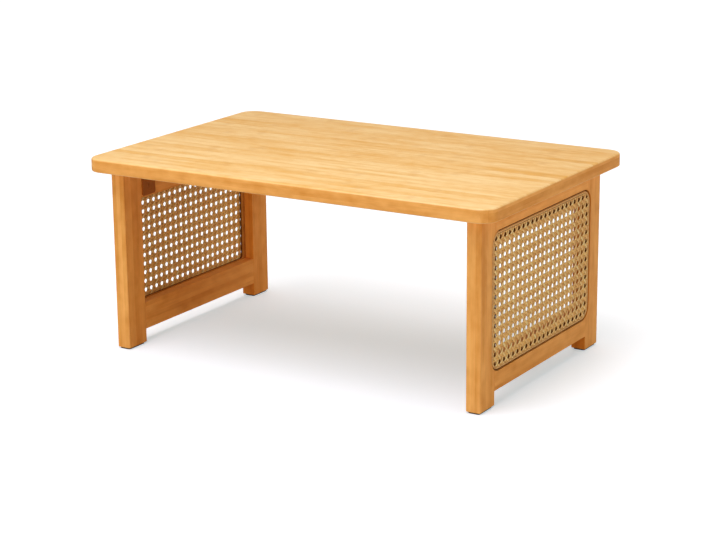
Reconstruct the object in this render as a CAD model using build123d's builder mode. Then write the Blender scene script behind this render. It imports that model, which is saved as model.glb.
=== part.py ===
"""Low folding floor table in laminated bamboo: a flat top on two end frames with woven cane panels.

Each end frame hangs on two butt hinges under the top and folds inwards until it lies flat against
the underside. A flush bolt in each frame's top rail locks it upright. Millimetres, +Z up, X along the
length, front towards -Y, and the origin on the floor under the middle of the top. Everything at the
end that lies on +X is modelled once, and the -X end is its mirror image.
"""
import os

from build123d import *

os.makedirs("parts", exist_ok=True)

# ---- driving sizes of the table ---------------------------------------------------------------
TABLE_LENGTH = 600.0
TABLE_DEPTH = 384.0
TABLE_HEIGHT = 264.0
TOP_THICKNESS = 18.0
TOP_CORNER_RADIUS = 22.0
TOP_UPPER_ROUNDING = 3.0
TOP_LOWER_ROUNDING = 2.0
OVERHANG = 24.0  # from the edge of the top in to the outside of the legs, all round

# ---- end frames -------------------------------------------------------------------------------
FRAME_THICKNESS = 20.0
LEG_WIDTH = 38.0
LEG_OUTER_ROUNDING = 2.0
LEG_INNER_ROUNDING = 0.6
LEG_FOOT_CHAMFER = 0.5
TOP_RAIL_HEIGHT = 44.0
BOTTOM_RAIL_HEIGHT = 37.0
BOTTOM_RAIL_LIFT = 20.0  # from the floor to the underside of the bottom rail
RAIL_ROUNDING = 0.8
FOOT_PAD_THICKNESS = 2.0
FOOT_PAD_INSET = 2.0
FOOT_PAD_CORNER = 3.0

# ---- dowels between rails and legs ------------------------------------------------------------
DOWEL_RADIUS = 3.0
DOWEL_LENGTH = 40.0
DOWEL_CHAMFER = 0.6
DOWEL_FROM_RAIL_EDGE = 7.5  # from a rail's long edge to the nearer dowel's axis
DOWEL_FROM_INNER_FACE = 6.5
GLUE_GAP = 0.05  # all round a dowel or a screw's shank

# ---- cane insert, set into a rebate in the outer face of the end frame ------------------------
INSERT_LAP_ON_LEG = 8.0
INSERT_LAP_ON_TOP_RAIL = 20.0
INSERT_LAP_ON_BOTTOM_RAIL = 12.0
INSERT_CORNER_RADIUS = 18.0
INSERT_GAP = 0.8  # shadow line between the insert and the edge of the rebate
CANE_FRAME_THICKNESS = 4.5
CANE_FRAME_BORDER = 13.0
CANE_FRAME_INNER_RADIUS = 5.0
WEBBING_THICKNESS = 1.6
WEBBING_RECESS = 0.4  # the webbing lies this far under the frame's outer face
CANE_PITCH = 12.2
CANE_HOLE_WIDTH = 5.8
CANE_EDGE_STRAND = 1.4
SPLINE_WIDTH = 3.0
SPLINE_FROM_EDGE = 1.2
SPLINE_GROOVE_DEPTH = 2.5
SPLINE_SIDE_GAP = 0.15
SPLINE_RECESS = 0.2

# ---- butt hinges ------------------------------------------------------------------------------
HINGE_WIDTH = 28.0
HINGE_FROM_LEG = 1.0
HINGE_LEAF_LENGTH = 38.0  # from the pin's axis to the far edge of the leaf
HINGE_LEAF_THICKNESS = 1.6
HINGE_LEAF_CORNER = 3.0
KNUCKLE_RADIUS = 3.0
KNUCKLE_COUNT = 5
KNUCKLE_GAP = 0.3  # between knuckles, and from a knuckle to the wood beside it
LEAF_SETBACK = 0.4  # from the knuckles' outside to where the other leaf's plate starts
HINGE_PIN_RADIUS = 1.5
HINGE_PIN_CLEARANCE = 0.05
HINGE_PIN_CHAMFER = 0.3
HINGE_SCREW_SPOTS = ((12.0, -8.0), (12.0, 8.0), (25.0, 0.0))  # from the pin's axis, along the hinge

# ---- countersunk wood screws ------------------------------------------------------------------
SCREW_LENGTH = 12.0
SCREW_POINT = 3.0
SCREW_HEAD_RADIUS = 3.0
SCREW_HEAD_ANGLE = 90.0
SCREW_SHANK_RADIUS = 1.5
SCREW_SEAT_GAP = 0.1
SCREW_SLOT_WIDTH = 0.8
SCREW_SLOT_DEPTH = 0.7

# ---- flush bolt in the top rail ---------------------------------------------------------------
BOLT_RADIUS = 3.0
BOLT_LENGTH = 32.0
BOLT_TRAVEL = 8.0
BOLT_BELOW_RAIL_TOP = 1.0  # drawn back, the bolt's tip lies this far inside the rail
BOLT_FROM_INNER_FACE = 8.0
BOLT_CLEARANCE = 0.1
BOLT_TIP_CHAMFER = 0.8
STEM_RADIUS = 2.0
STEM_ABOVE_BOLT_FOOT = 5.0
STEM_INTO_BOLT = 2.0  # past the bolt's axis
STEM_CLEARANCE = 0.3
KNOB_RADIUS = 5.0
KNOB_THICKNESS = 3.0
KNOB_ROUNDING = 0.8
KNOB_GAP = 0.3
BOLT_PLATE_WIDTH = 24.0
BOLT_PLATE_HEIGHT = 38.0
BOLT_PLATE_THICKNESS = 1.6
BOLT_PLATE_CORNER = 2.0
BOLT_PLATE_SIDE_GAP = 0.1
BOLT_PLATE_BELOW_RAIL_TOP = 2.0
BOLT_PLATE_SCREW_INSET = 4.5
PLATE_SCREW_LENGTH = 8.0
KEEPER_RADIUS = 5.0
KEEPER_LENGTH = 9.0
KEEPER_CLEARANCE = 0.3

# ---- bumpers that the folded legs close against -----------------------------------------------
BUMPER_RADIUS = 6.0
BUMPER_ROUNDING = 1.0
BUMPER_FROM_MIDDLE = 26.0
BUMPER_GAP = 0.3

# ---- places worked out from the sizes ---------------------------------------------------------
TOP_UNDERSIDE = TABLE_HEIGHT - TOP_THICKNESS
FRAME_OUTER_X = TABLE_LENGTH / 2 - OVERHANG
FRAME_INNER_X = FRAME_OUTER_X - FRAME_THICKNESS
FRAME_MIDDLE_X = (FRAME_OUTER_X + FRAME_INNER_X) / 2
FRAME_HALF_DEPTH = TABLE_DEPTH / 2 - OVERHANG
OPENING_HALF = FRAME_HALF_DEPTH - LEG_WIDTH
LEG_Y = FRAME_HALF_DEPTH - LEG_WIDTH / 2
TOP_RAIL_BOTTOM = TOP_UNDERSIDE - TOP_RAIL_HEIGHT
BOTTOM_RAIL_TOP = BOTTOM_RAIL_LIFT + BOTTOM_RAIL_HEIGHT

INSERT_WIDTH = 2 * (OPENING_HALF + INSERT_LAP_ON_LEG)
INSERT_BOTTOM = BOTTOM_RAIL_TOP - INSERT_LAP_ON_BOTTOM_RAIL
INSERT_TOP = TOP_RAIL_BOTTOM + INSERT_LAP_ON_TOP_RAIL
INSERT_HEIGHT = INSERT_TOP - INSERT_BOTTOM
INSERT_MIDDLE = (0, (INSERT_TOP + INSERT_BOTTOM) / 2)
REBATE_DEPTH = CANE_FRAME_THICKNESS + WEBBING_THICKNESS + WEBBING_RECESS

HINGE_AXIS_DROP = KNUCKLE_RADIUS + KNUCKLE_GAP  # from the pin's axis to the top and to the rail
HINGE_AXIS_X = FRAME_INNER_X - HINGE_AXIS_DROP
HINGE_AXIS_Z = TOP_UNDERSIDE - HINGE_AXIS_DROP
HINGE_Y = OPENING_HALF - HINGE_FROM_LEG - HINGE_WIDTH / 2
LEAF_START = KNUCKLE_RADIUS + LEAF_SETBACK
KNUCKLE_LENGTH = (HINGE_WIDTH - (KNUCKLE_COUNT - 1) * KNUCKLE_GAP) / KNUCKLE_COUNT

BOLT_X = FRAME_INNER_X + BOLT_FROM_INNER_FACE
BOLT_TIP_Z = TOP_UNDERSIDE - BOLT_BELOW_RAIL_TOP
BOLT_FOOT_Z = BOLT_TIP_Z - BOLT_LENGTH
STEM_Z = BOLT_FOOT_Z + STEM_ABOVE_BOLT_FOOT
SLOT_MIDDLE_Z = STEM_Z + BOLT_TRAVEL / 2
SLOT_WIDTH = 2 * (STEM_RADIUS + STEM_CLEARANCE)
BOLT_PLATE_MIDDLE_Z = TOP_UNDERSIDE - BOLT_PLATE_BELOW_RAIL_TOP - BOLT_PLATE_HEIGHT / 2

OUTER_FACE = Plane.YZ.offset(FRAME_OUTER_X)  # sketches on it are drawn in (Y, Z), outwards is +X
INNER_FACE = Plane.YZ.offset(FRAME_INNER_X)
ENDS = {"front": -1, "back": 1}  # which way along Y each leg and hinge of a frame lies


def write_single(piece, name):
    """Write a piece that the table has once."""
    piece.part.label = name
    export_step(piece.part, f"parts/{name}.step")


def write_pair(piece, name):
    """Write a piece of the +X end, and its mirror image for the -X end."""
    write_single(piece, f"right_{name}")
    with BuildPart() as twin:
        mirror(piece.part, about=Plane.YZ)
    write_single(twin, f"left_{name}")


def cut_rebate():
    """Rout the rebate for the cane insert into the outer face of the piece being built."""
    with BuildSketch(OUTER_FACE) as rebate:
        with Locations(INSERT_MIDDLE):
            RectangleRounded(
                INSERT_WIDTH + 2 * INSERT_GAP,
                INSERT_HEIGHT + 2 * INSERT_GAP,
                INSERT_CORNER_RADIUS + INSERT_GAP,
            )
    extrude(rebate.sketch, amount=-REBATE_DEPTH, mode=Mode.SUBTRACT)


def dowel_spots():
    """(X, Z) of the dowels that join the two rails to a leg."""
    rails = ((TOP_RAIL_BOTTOM, TOP_UNDERSIDE), (BOTTOM_RAIL_LIFT, BOTTOM_RAIL_TOP))
    x = FRAME_INNER_X + DOWEL_FROM_INNER_FACE
    return [
        (x, z)
        for low, high in rails
        for z in (low + DOWEL_FROM_RAIL_EDGE, high - DOWEL_FROM_RAIL_EDGE)
    ]


def dowel_profiles(toward, radius):
    """Circles at the joint between the rails and the leg that lies toward that end."""
    with BuildSketch(Plane.XZ.offset(-toward * OPENING_HALF)) as profiles:
        with Locations(*dowel_spots()):
            Circle(radius)
    return profiles.sketch


def drill_dowel_holes(toward):
    """Drill the dowel holes of one joint into the piece being built."""
    holes = dowel_profiles(toward, DOWEL_RADIUS + GLUE_GAP)
    extrude(holes, amount=DOWEL_LENGTH / 2 + GLUE_GAP, both=True, mode=Mode.SUBTRACT)


def top_leaf_screw_planes(toward):
    """Head planes of the screws that hold one hinge to the underside of the top."""
    head_z = TOP_UNDERSIDE - HINGE_LEAF_THICKNESS
    return [
        Plane(origin=(HINGE_AXIS_X - reach, toward * HINGE_Y + along, head_z), z_dir=(0, 0, -1))
        for reach, along in HINGE_SCREW_SPOTS
    ]


def rail_leaf_screw_planes(toward):
    """Head planes of the screws that hold one hinge to the top rail."""
    head_x = FRAME_INNER_X - HINGE_LEAF_THICKNESS
    return [
        Plane(origin=(head_x, toward * HINGE_Y + along, HINGE_AXIS_Z - reach), z_dir=(-1, 0, 0))
        for reach, along in HINGE_SCREW_SPOTS
    ]


def bolt_plate_screw_planes():
    """Head planes of the screws through the corners of the flush bolt's face plate."""
    across = BOLT_PLATE_WIDTH / 2 - BOLT_PLATE_SCREW_INSET
    up = BOLT_PLATE_HEIGHT / 2 - BOLT_PLATE_SCREW_INSET
    return [
        Plane(origin=(FRAME_INNER_X, y, BOLT_PLATE_MIDDLE_Z + z), z_dir=(-1, 0, 0))
        for y in (-across, across)
        for z in (-up, up)
    ]


def drill_pilots(planes, length):
    """Drill the holes of a set of screws into the piece being built."""
    with Locations(*planes):
        Hole(SCREW_SHANK_RADIUS + GLUE_GAP, depth=length + GLUE_GAP)


def countersink(planes):
    """Countersink a metal plate for a set of screws."""
    with Locations(*planes):
        CounterSinkHole(
            SCREW_SHANK_RADIUS + SCREW_SEAT_GAP,
            SCREW_HEAD_RADIUS + SCREW_SEAT_GAP,
            depth=SCREW_LENGTH,
            counter_sink_angle=SCREW_HEAD_ANGLE,
        )


def wood_screw(length):
    """One slotted countersunk screw, its head at the origin and its point towards -Z."""
    cone = SCREW_HEAD_RADIUS - SCREW_SHANK_RADIUS
    with BuildPart() as screw:
        with BuildSketch(Plane.XZ):
            with BuildLine():
                Polyline(
                    (0, 0),
                    (SCREW_HEAD_RADIUS, 0),
                    (SCREW_SHANK_RADIUS, -cone),
                    (SCREW_SHANK_RADIUS, SCREW_POINT - length),
                    (0, -length),
                    close=True,
                )
            make_face()
        revolve(axis=Axis.Z)
        with BuildSketch(Plane.XY):
            Rectangle(2 * SCREW_HEAD_RADIUS, SCREW_SLOT_WIDTH)
        extrude(amount=-SCREW_SLOT_DEPTH, mode=Mode.SUBTRACT)
    return screw.part


# ---- the top: one board glued up from bamboo strips --------------------------------------------
with BuildPart() as table_top:
    with BuildSketch(Plane.XY.offset(TOP_UNDERSIDE)):
        RectangleRounded(TABLE_LENGTH, TABLE_DEPTH, TOP_CORNER_RADIUS)
    extrude(amount=TOP_THICKNESS)
    fillet(table_top.edges().group_by(Axis.Z)[-1], TOP_UPPER_ROUNDING)
    fillet(table_top.edges().group_by(Axis.Z)[0], TOP_LOWER_ROUNDING)
    for toward in ENDS.values():
        drill_pilots(top_leaf_screw_planes(toward), SCREW_LENGTH)
    with BuildSketch(Plane.XY.offset(TOP_UNDERSIDE)):
        with Locations((BOLT_X, 0)):
            Circle(KEEPER_RADIUS + GLUE_GAP)
    extrude(amount=KEEPER_LENGTH, mode=Mode.SUBTRACT)
    split(bisect_by=Plane.YZ)
    mirror(about=Plane.YZ)
write_single(table_top, "table_top")

# ---- legs: upright bars of the end frames, with pads under them ---------------------------------
for end, toward in ENDS.items():
    with BuildPart() as leg:
        with BuildSketch(Plane.XY.offset(FOOT_PAD_THICKNESS)):
            with Locations((FRAME_MIDDLE_X, toward * LEG_Y)):
                Rectangle(FRAME_THICKNESS, LEG_WIDTH)
        extrude(amount=TOP_UNDERSIDE - FOOT_PAD_THICKNESS)
        uprights = leg.edges().filter_by(Axis.Z).sort_by(Axis.Y)
        outer_corners = uprights[:2] if toward < 0 else uprights[-2:]
        inner_corners = uprights[-2:] if toward < 0 else uprights[:2]
        fillet(outer_corners, LEG_OUTER_ROUNDING)
        fillet(inner_corners, LEG_INNER_ROUNDING)
        chamfer(leg.edges().group_by(Axis.Z)[0], LEG_FOOT_CHAMFER)
        cut_rebate()
        drill_dowel_holes(toward)
    write_pair(leg, f"{end}_leg")

    with BuildPart() as foot_pad:
        with BuildSketch():
            with Locations((FRAME_MIDDLE_X, toward * LEG_Y)):
                RectangleRounded(
                    FRAME_THICKNESS - 2 * FOOT_PAD_INSET,
                    LEG_WIDTH - 2 * FOOT_PAD_INSET,
                    FOOT_PAD_CORNER,
                )
        extrude(amount=FOOT_PAD_THICKNESS)
    write_pair(foot_pad, f"{end}_foot_pad")

# ---- rails: they close the frame above and below the cane ----------------------------------------
with BuildPart() as top_rail:
    with BuildSketch(INNER_FACE):
        with Locations((0, TOP_UNDERSIDE - TOP_RAIL_HEIGHT / 2)):
            Rectangle(2 * OPENING_HALF, TOP_RAIL_HEIGHT)
    extrude(amount=FRAME_THICKNESS)
    fillet(top_rail.edges().filter_by(Axis.Y).group_by(Axis.Z)[0], RAIL_ROUNDING)
    cut_rebate()
    for toward in ENDS.values():
        drill_dowel_holes(toward)
        drill_pilots(rail_leaf_screw_planes(toward), SCREW_LENGTH)
    with BuildSketch(INNER_FACE):
        with Locations((0, BOLT_PLATE_MIDDLE_Z)):
            RectangleRounded(
                BOLT_PLATE_WIDTH + 2 * BOLT_PLATE_SIDE_GAP,
                BOLT_PLATE_HEIGHT + 2 * BOLT_PLATE_SIDE_GAP,
                BOLT_PLATE_CORNER + BOLT_PLATE_SIDE_GAP,
            )
    extrude(amount=BOLT_PLATE_THICKNESS, mode=Mode.SUBTRACT)
    drill_pilots(bolt_plate_screw_planes(), PLATE_SCREW_LENGTH)
    with BuildSketch(INNER_FACE):
        with Locations((0, SLOT_MIDDLE_Z)):
            SlotOverall(BOLT_TRAVEL + SLOT_WIDTH, SLOT_WIDTH, rotation=90)
    extrude(amount=BOLT_FROM_INNER_FACE, mode=Mode.SUBTRACT)
    with BuildSketch(Plane.XY.offset(TOP_UNDERSIDE)):
        with Locations((BOLT_X, 0)):
            Circle(BOLT_RADIUS + BOLT_CLEARANCE)
    extrude(amount=-(BOLT_LENGTH + BOLT_BELOW_RAIL_TOP + BOLT_CLEARANCE), mode=Mode.SUBTRACT)
write_pair(top_rail, "top_rail")

with BuildPart() as bottom_rail:
    with BuildSketch(INNER_FACE):
        with Locations((0, BOTTOM_RAIL_LIFT + BOTTOM_RAIL_HEIGHT / 2)):
            Rectangle(2 * OPENING_HALF, BOTTOM_RAIL_HEIGHT)
    extrude(amount=FRAME_THICKNESS)
    fillet(bottom_rail.edges().filter_by(Axis.Y), RAIL_ROUNDING)
    cut_rebate()
    for toward in ENDS.values():
        drill_dowel_holes(toward)
write_pair(bottom_rail, "bottom_rail")

# ---- dowels: two in each joint between a rail and a leg ------------------------------------------
with BuildPart() as dowels:
    for toward in ENDS.values():
        extrude(dowel_profiles(toward, DOWEL_RADIUS), amount=DOWEL_LENGTH / 2, both=True)
    chamfer(dowels.edges().filter_by(GeomType.CIRCLE), DOWEL_CHAMFER)
write_pair(dowels, "frame_dowels")

# ---- cane insert: a thin bamboo ring, the woven webbing on it, and a reed spline -----------------
SPLINE_OUTER_WIDTH = INSERT_WIDTH - 2 * SPLINE_FROM_EDGE
SPLINE_OUTER_HEIGHT = INSERT_HEIGHT - 2 * SPLINE_FROM_EDGE
SPLINE_OUTER_RADIUS = INSERT_CORNER_RADIUS - SPLINE_FROM_EDGE
RING_FACE = OUTER_FACE.offset(-(WEBBING_RECESS + WEBBING_THICKNESS))
SPLINE_FACE = OUTER_FACE.offset(-SPLINE_RECESS)


def spline_loop(play):
    """The spline's outline, a closed loop, made wider on both sides by play."""
    RectangleRounded(
        SPLINE_OUTER_WIDTH + 2 * play,
        SPLINE_OUTER_HEIGHT + 2 * play,
        SPLINE_OUTER_RADIUS + play,
    )
    RectangleRounded(
        SPLINE_OUTER_WIDTH - 2 * (SPLINE_WIDTH + play),
        SPLINE_OUTER_HEIGHT - 2 * (SPLINE_WIDTH + play),
        SPLINE_OUTER_RADIUS - SPLINE_WIDTH - play,
        mode=Mode.SUBTRACT,
    )


with BuildPart() as cane_frame:
    with BuildSketch(RING_FACE):
        with Locations(INSERT_MIDDLE):
            RectangleRounded(INSERT_WIDTH, INSERT_HEIGHT, INSERT_CORNER_RADIUS)
            RectangleRounded(
                INSERT_WIDTH - 2 * CANE_FRAME_BORDER,
                INSERT_HEIGHT - 2 * CANE_FRAME_BORDER,
                CANE_FRAME_INNER_RADIUS,
                mode=Mode.SUBTRACT,
            )
    extrude(amount=-CANE_FRAME_THICKNESS)
    with BuildSketch(RING_FACE):
        with Locations(INSERT_MIDDLE):
            spline_loop(SPLINE_SIDE_GAP)
    extrude(amount=-SPLINE_GROOVE_DEPTH, mode=Mode.SUBTRACT)
write_pair(cane_frame, "cane_frame")

with BuildPart() as cane_spline:
    with BuildSketch(SPLINE_FACE):
        with Locations(INSERT_MIDDLE):
            spline_loop(0)
    extrude(amount=-(WEBBING_RECESS + WEBBING_THICKNESS - SPLINE_RECESS + SPLINE_GROOVE_DEPTH))
write_pair(cane_spline, "cane_spline")

WEBBING_SHRINK = SPLINE_WIDTH + SPLINE_SIDE_GAP
WEBBING_WIDTH = SPLINE_OUTER_WIDTH - 2 * WEBBING_SHRINK
WEBBING_HEIGHT = SPLINE_OUTER_HEIGHT - 2 * WEBBING_SHRINK
WEBBING_MARGIN = CANE_HOLE_WIDTH + 2 * CANE_EDGE_STRAND
HOLE_COLUMNS = int((WEBBING_WIDTH - WEBBING_MARGIN) / CANE_PITCH) + 1
HOLE_ROWS = int((WEBBING_HEIGHT - WEBBING_MARGIN) / CANE_PITCH) + 1


def cane_hole_spots():
    """Middles of the eight-sided holes, without the four that the round corners would cut."""
    across = CANE_PITCH * (HOLE_COLUMNS - 1) / 2
    up = CANE_PITCH * (HOLE_ROWS - 1) / 2
    corner_reach = across + up - CANE_PITCH / 2
    grid = GridLocations(CANE_PITCH, CANE_PITCH, HOLE_COLUMNS, HOLE_ROWS).local_locations
    return [
        spot for spot in grid if abs(spot.position.X) + abs(spot.position.Y) < corner_reach
    ]


hole_spots = cane_hole_spots()

with BuildPart() as cane_webbing:
    with BuildSketch(RING_FACE):
        with Locations(INSERT_MIDDLE):
            RectangleRounded(WEBBING_WIDTH, WEBBING_HEIGHT, SPLINE_OUTER_RADIUS - WEBBING_SHRINK)
            with Locations(*hole_spots):
                RegularPolygon(
                    CANE_HOLE_WIDTH / 2,
                    side_count=8,
                    major_radius=False,
                    rotation=22.5,
                    mode=Mode.SUBTRACT,
                )
    extrude(amount=WEBBING_THICKNESS)
write_pair(cane_webbing, "cane_webbing")


# ---- butt hinges: one leaf on the top, one on the rail, and a pin through their knuckles ---------
def add_knuckles(hinge_plane, first, bridge_middle, bridge_size):
    """Add every second knuckle, and the strip of leaf that each one is rolled from."""
    for index in range(first, KNUCKLE_COUNT, 2):
        knuckle_plane = hinge_plane.offset(index * (KNUCKLE_LENGTH + KNUCKLE_GAP))
        with BuildSketch(knuckle_plane) as knuckle:
            with Locations((HINGE_AXIS_X, HINGE_AXIS_Z)):
                Circle(KNUCKLE_RADIUS)
                with Locations(bridge_middle):
                    Rectangle(*bridge_size)
        extrude(knuckle.sketch, amount=KNUCKLE_LENGTH)


def bore_knuckles(hinge_plane):
    """Bore the knuckles of the leaf being built for the pin."""
    with BuildSketch(hinge_plane) as bore:
        with Locations((HINGE_AXIS_X, HINGE_AXIS_Z)):
            Circle(HINGE_PIN_RADIUS + HINGE_PIN_CLEARANCE)
    extrude(bore.sketch, amount=HINGE_WIDTH, mode=Mode.SUBTRACT)


PLATE_LENGTH = HINGE_LEAF_LENGTH - LEAF_START
PLATE_MIDDLE = (HINGE_LEAF_LENGTH + LEAF_START) / 2
LEAF_MIDDLE = HINGE_AXIS_DROP - HINGE_LEAF_THICKNESS / 2  # from the pin's axis to mid-thickness

for end, toward in ENDS.items():
    hinge_y = toward * HINGE_Y
    hinge_plane = Plane.XZ.offset(-(hinge_y + HINGE_WIDTH / 2))  # its normal points to the front

    with BuildPart() as top_leaf:
        with BuildSketch(Plane.XY.offset(TOP_UNDERSIDE)) as plate:
            with Locations((HINGE_AXIS_X - PLATE_MIDDLE, hinge_y)):
                Rectangle(PLATE_LENGTH, HINGE_WIDTH)
            fillet(plate.vertices().group_by(Axis.X)[0], HINGE_LEAF_CORNER)
        extrude(amount=-HINGE_LEAF_THICKNESS)
        add_knuckles(
            hinge_plane, 0, (-LEAF_START / 2, LEAF_MIDDLE), (LEAF_START, HINGE_LEAF_THICKNESS)
        )
        bore_knuckles(hinge_plane)
        countersink(top_leaf_screw_planes(toward))
    write_pair(top_leaf, f"{end}_hinge_top_leaf")

    with BuildPart() as rail_leaf:
        with BuildSketch(INNER_FACE) as plate:
            with Locations((hinge_y, HINGE_AXIS_Z - PLATE_MIDDLE)):
                Rectangle(HINGE_WIDTH, PLATE_LENGTH)
            fillet(plate.vertices().group_by(Axis.Y)[0], HINGE_LEAF_CORNER)
        extrude(amount=-HINGE_LEAF_THICKNESS)
        add_knuckles(
            hinge_plane, 1, (LEAF_MIDDLE, -LEAF_START / 2), (HINGE_LEAF_THICKNESS, LEAF_START)
        )
        bore_knuckles(hinge_plane)
        countersink(rail_leaf_screw_planes(toward))
    write_pair(rail_leaf, f"{end}_hinge_rail_leaf")

    with BuildPart() as hinge_pin:
        with BuildSketch(hinge_plane):
            with Locations((HINGE_AXIS_X, HINGE_AXIS_Z)):
                Circle(HINGE_PIN_RADIUS)
        extrude(amount=HINGE_WIDTH)
        chamfer(hinge_pin.edges().filter_by(GeomType.CIRCLE), HINGE_PIN_CHAMFER)
    write_pair(hinge_pin, f"{end}_hinge_pin")

# ---- hinge screws: three through each leaf --------------------------------------------------------
with BuildPart() as hinge_top_screws:
    for toward in ENDS.values():
        with Locations(*top_leaf_screw_planes(toward)):
            add(wood_screw(SCREW_LENGTH))
write_pair(hinge_top_screws, "hinge_top_screws")

with BuildPart() as hinge_rail_screws:
    for toward in ENDS.values():
        with Locations(*rail_leaf_screw_planes(toward)):
            add(wood_screw(SCREW_LENGTH))
write_pair(hinge_rail_screws, "hinge_rail_screws")

# ---- flush bolt: a rod that slides up out of the top rail into a bush in the top ------------------
with BuildPart() as bolt_rod:
    with BuildSketch(Plane.XY.offset(BOLT_FOOT_Z)):
        with Locations((BOLT_X, 0)):
            Circle(BOLT_RADIUS)
    extrude(amount=BOLT_LENGTH)
    chamfer(bolt_rod.edges().group_by(Axis.Z)[-1], BOLT_TIP_CHAMFER)
    with BuildSketch(Plane.YZ.offset(BOLT_X + STEM_INTO_BOLT)):
        with Locations((0, STEM_Z)):
            Circle(STEM_RADIUS + GLUE_GAP)
    extrude(amount=-(STEM_INTO_BOLT + BOLT_RADIUS), mode=Mode.SUBTRACT)
write_pair(bolt_rod, "bolt_rod")

with BuildPart() as bolt_knob:
    with BuildSketch(Plane.YZ.offset(BOLT_X + STEM_INTO_BOLT)):
        with Locations((0, STEM_Z)):
            Circle(STEM_RADIUS)
    extrude(amount=-(STEM_INTO_BOLT + BOLT_FROM_INNER_FACE + KNOB_GAP))
    with BuildSketch(INNER_FACE.offset(-KNOB_GAP)):
        with Locations((0, STEM_Z)):
            Circle(KNOB_RADIUS)
    extrude(amount=-KNOB_THICKNESS)
    fillet(bolt_knob.edges().group_by(Axis.X)[0], KNOB_ROUNDING)
write_pair(bolt_knob, "bolt_knob")

with BuildPart() as bolt_plate:
    with BuildSketch(INNER_FACE):
        with Locations((0, BOLT_PLATE_MIDDLE_Z)):
            RectangleRounded(BOLT_PLATE_WIDTH, BOLT_PLATE_HEIGHT, BOLT_PLATE_CORNER)
        with Locations((0, SLOT_MIDDLE_Z)):
            SlotOverall(BOLT_TRAVEL + SLOT_WIDTH, SLOT_WIDTH, rotation=90, mode=Mode.SUBTRACT)
    extrude(amount=BOLT_PLATE_THICKNESS)
    countersink(bolt_plate_screw_planes())
write_pair(bolt_plate, "bolt_plate")

with BuildPart() as bolt_plate_screws:
    with Locations(*bolt_plate_screw_planes()):
        add(wood_screw(PLATE_SCREW_LENGTH))
write_pair(bolt_plate_screws, "bolt_plate_screws")

with BuildPart() as bolt_keeper:
    with BuildSketch(Plane.XY.offset(TOP_UNDERSIDE)):
        with Locations((BOLT_X, 0)):
            Circle(KEEPER_RADIUS)
            Circle(BOLT_RADIUS + KEEPER_CLEARANCE, mode=Mode.SUBTRACT)
    extrude(amount=KEEPER_LENGTH)
write_pair(bolt_keeper, "bolt_keeper")

# ---- bumpers: rubber buttons under the top, one above the foot of each folded leg -----------------
BUMPER_HEIGHT = 2 * HINGE_AXIS_DROP - BUMPER_GAP

with BuildPart() as leg_bumpers:
    with BuildSketch(Plane.XY.offset(TOP_UNDERSIDE)):
        with GridLocations(2 * BUMPER_FROM_MIDDLE, 2 * LEG_Y, 2, 2):
            Circle(BUMPER_RADIUS)
    extrude(amount=-BUMPER_HEIGHT)
    fillet(leg_bumpers.edges().group_by(Axis.Z)[0], BUMPER_ROUNDING)
write_single(leg_bumpers, "leg_bumpers")
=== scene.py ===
"""A low folding floor table in laminated bamboo, with woven cane panels in its two end frames."""

import math

import bmesh
import bpy
from mathutils import Euler, Matrix, Vector


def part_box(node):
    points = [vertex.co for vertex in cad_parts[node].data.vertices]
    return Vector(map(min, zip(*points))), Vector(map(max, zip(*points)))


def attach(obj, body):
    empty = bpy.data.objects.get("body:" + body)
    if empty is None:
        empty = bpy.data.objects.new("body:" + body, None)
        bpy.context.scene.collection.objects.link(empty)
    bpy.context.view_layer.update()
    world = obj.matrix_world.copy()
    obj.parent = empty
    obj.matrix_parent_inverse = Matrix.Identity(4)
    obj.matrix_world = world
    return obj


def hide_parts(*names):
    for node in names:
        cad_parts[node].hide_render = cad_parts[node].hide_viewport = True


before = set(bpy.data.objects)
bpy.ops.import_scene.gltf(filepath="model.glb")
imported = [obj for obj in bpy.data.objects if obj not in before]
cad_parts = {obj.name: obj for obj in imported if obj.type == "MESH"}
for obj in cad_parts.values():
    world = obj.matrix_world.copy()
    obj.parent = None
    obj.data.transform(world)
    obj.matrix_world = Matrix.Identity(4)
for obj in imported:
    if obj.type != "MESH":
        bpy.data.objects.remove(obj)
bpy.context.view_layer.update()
scene = bpy.context.scene

# ---- the camera ----------------------------------------------------------------------------------
# A portrait lens at sitting height, looking at the table's front and right end from well back, so
# that its uprights stay nearly parallel.
CAMERA_PLACE = Vector((1.3665, -2.2354, 0.8258))
CAMERA_TURN = math.radians(31.40)  # from straight along +Y towards -X
CAMERA_DOWN = math.radians(15.36)
CAMERA_ROLL = math.radians(-0.52)
LENS = 102.2  # millimetres
SENSOR_WIDTH = 36  # millimetres

camera_data = bpy.data.cameras.new("camera")
camera_data.lens = LENS
camera_data.sensor_width = SENSOR_WIDTH
camera = bpy.data.objects.new("camera", camera_data)
scene.collection.objects.link(camera)
aim = Euler((math.pi / 2 - CAMERA_DOWN, 0, CAMERA_TURN)).to_matrix()
camera.matrix_world = Matrix.LocRotScale(
    CAMERA_PLACE, aim @ Matrix.Rotation(CAMERA_ROLL, 3, "Z"), None
)
scene.camera = camera

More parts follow.
